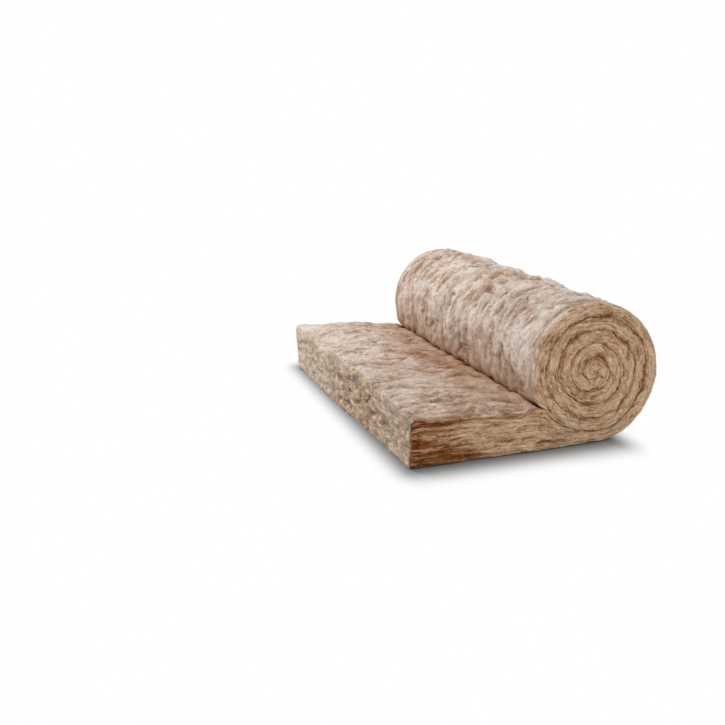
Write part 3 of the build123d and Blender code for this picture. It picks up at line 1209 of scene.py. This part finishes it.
bpy.ops.object.select_all(action="DESELECT")
bpy.ops.mesh.primitive_plane_add(size=floor_size, location=(0, 0, 0))
floor = bpy.context.object
floor.name = "floor"
paper = bpy.data.materials.new("pale_floor")
paper.use_nodes = True
n = Nodes(paper)
lit_paper = paper.node_tree.nodes["Principled BSDF"]
lit_paper.inputs["Roughness"].default_value = 1.0
lit_paper.inputs["Specular IOR Level"].default_value = 0.0
plain_white = n.new("ShaderNodeEmission")
plain_white.inputs["Color"].default_value = (1, 1, 1, 1)
plain_white.inputs["Strength"].default_value = 1.0
floor_spot = n.new("ShaderNodeSeparateXYZ")
n.feed(floor_spot.inputs[0], n.new("ShaderNodeTexCoord").outputs["Object"])
print("floor", floor_size, "m wide")

# %% Where the floor turns white
shadow_reach = 0.19       # how far from the wool the floor has turned quite white
overhang = 0.15           # how far the roll's right side hangs over the white
borders = (               # axis, from, to, how many times faster the floor turns white
    ("X", low[0], high[0] - overhang, 1.9),
    ("Y", near_y, far_y, 1.0),
)

gaps = []
for axis_name, start, end, haste in borders:
    from_middle = n.math("SUBTRACT", floor_spot.outputs[axis_name], (start + end) / 2)
    from_middle = n.math("ABSOLUTE", from_middle)
    gap = n.math("MULTIPLY", n.math("SUBTRACT", from_middle, (end - start) / 2), haste)
    gaps.append(n.math("POWER", n.math("MAXIMUM", gap, 0.0), 2.0))
from_wool = n.math("SQRT", n.math("ADD", *gaps))
whiteness = n.span(from_wool, 0.0, shadow_reach)
print("the floor turns white within", shadow_reach, "m")

# %% The floor's paper
paper_colour = (0.93, 0.93, 0.93, 1)
# Painted shadow colour, seen by the camera alone beside the wool.
painted_shadow_colour = (0.28, 0.31, 0.33, 1)


def seen_directly(n):
    """1 for what the camera sees, straight or by a reflection, and 0 for light on its way."""
    path = n.new("ShaderNodeLightPath")
    seen = n.math("MAXIMUM", path.outputs["Is Camera Ray"], path.outputs["Is Glossy Ray"])
    return n.math("MAXIMUM", seen, path.outputs["Is Transmission Ray"])


# A painted shadow on the floor beside the wool, for the camera alone.
painted_shadow_share = n.math("MULTIPLY", n.span(from_wool, 0.0, shadow_reach, 1.0, 0.0), seen_directly(n))
n.feed(lit_paper.inputs["Base Color"], n.mix(painted_shadow_share, paper_colour, painted_shadow_colour))
mixed = n.new("ShaderNodeMixShader")
n.feed(mixed.inputs[0], n.math("MULTIPLY", whiteness, seen_directly(n)))
n.feed(mixed.inputs[1], lit_paper.outputs[0])
n.feed(mixed.inputs[2], plain_white.outputs[0])
n.feed(paper.node_tree.nodes["Material Output"].inputs[0], mixed.outputs[0])
floor.data.materials.append(paper)
print("floor material", len(paper.node_tree.nodes), "nodes")

# %% [markdown]
# ## The light
# The photo is lit softly from all sides, which a pale warm world does by itself. One broad lamp high
# up behind the left side shapes the roll. The camera sees the world plain white.

# %% Light
world_light = 0.76
world_colour, seen_colour = (1.0, 0.98, 0.945, 1), (1, 1, 1, 1)
lamp_place, lamp_aim = Vector((-1.1, 1.6, 2.6)), Vector((0, 0, 0.15))
lamp_width, lamp_watts = 1.2, 43

world = bpy.data.worlds.new("studio")
bpy.context.scene.world = world
world.use_nodes = True
n = Nodes(world)
even = world.node_tree.nodes["Background"]
n.feed(even.inputs["Color"], n.mix(seen_directly(n), world_colour, seen_colour))
n.feed(even.inputs["Strength"], n.math("MAXIMUM", seen_directly(n), world_light))

lamp_data = bpy.data.lights.new("key", "AREA")
lamp_data.shape = "DISK"
lamp_data.size = lamp_width
lamp_data.energy = lamp_watts
lamp = bpy.data.objects.new("key", lamp_data)
bpy.context.scene.collection.objects.link(lamp)
lamp_turn = (lamp_aim - lamp_place).to_track_quat("-Z", "Y").to_matrix()
lamp.matrix_world = Matrix.Translation(lamp_place) @ lamp_turn.to_4x4()
print("world light", world_light, "and a lamp of", lamp_watts, "W")

# %% [markdown]
# ## The camera
# The camera stands where the photo was taken. Its place and turn could be found by eye, but they
# were fitted, with its lens, to the blanket's outline in the photo at the blanket's real width.

# %% Camera
photo_side = 725          # pixels
focal_pixels = 1078.6     # focal length, in pixels of the photo
sensor_width = 36.0
yaw, pitch, roll = radians(16.3), radians(14.3), radians(-2.6)
camera_place = Vector((-1.2577, -3.2023, 1.0052))
forward = Vector((sin(yaw) * cos(pitch), cos(yaw) * cos(pitch), -sin(pitch)))
right_level = Vector((cos(yaw), -sin(yaw), 0))
up_level = right_level.cross(forward)
right_way = right_level * cos(roll) + up_level * sin(roll)
up_way = up_level * cos(roll) - right_level * sin(roll)
camera_data = bpy.data.cameras.new("camera")
camera_data.sensor_width = sensor_width
camera_data.lens = focal_pixels / photo_side * sensor_width
camera = bpy.data.objects.new("camera", camera_data)
bpy.context.scene.collection.objects.link(camera)
turn = Matrix((right_way, up_way, -forward)).transposed()
camera.matrix_world = Matrix.Translation(camera_place) @ turn.to_4x4()
bpy.context.scene.camera = camera
bpy.context.scene.view_settings.view_transform = "Standard"
print("lens", round(camera_data.lens, 1), "mm")
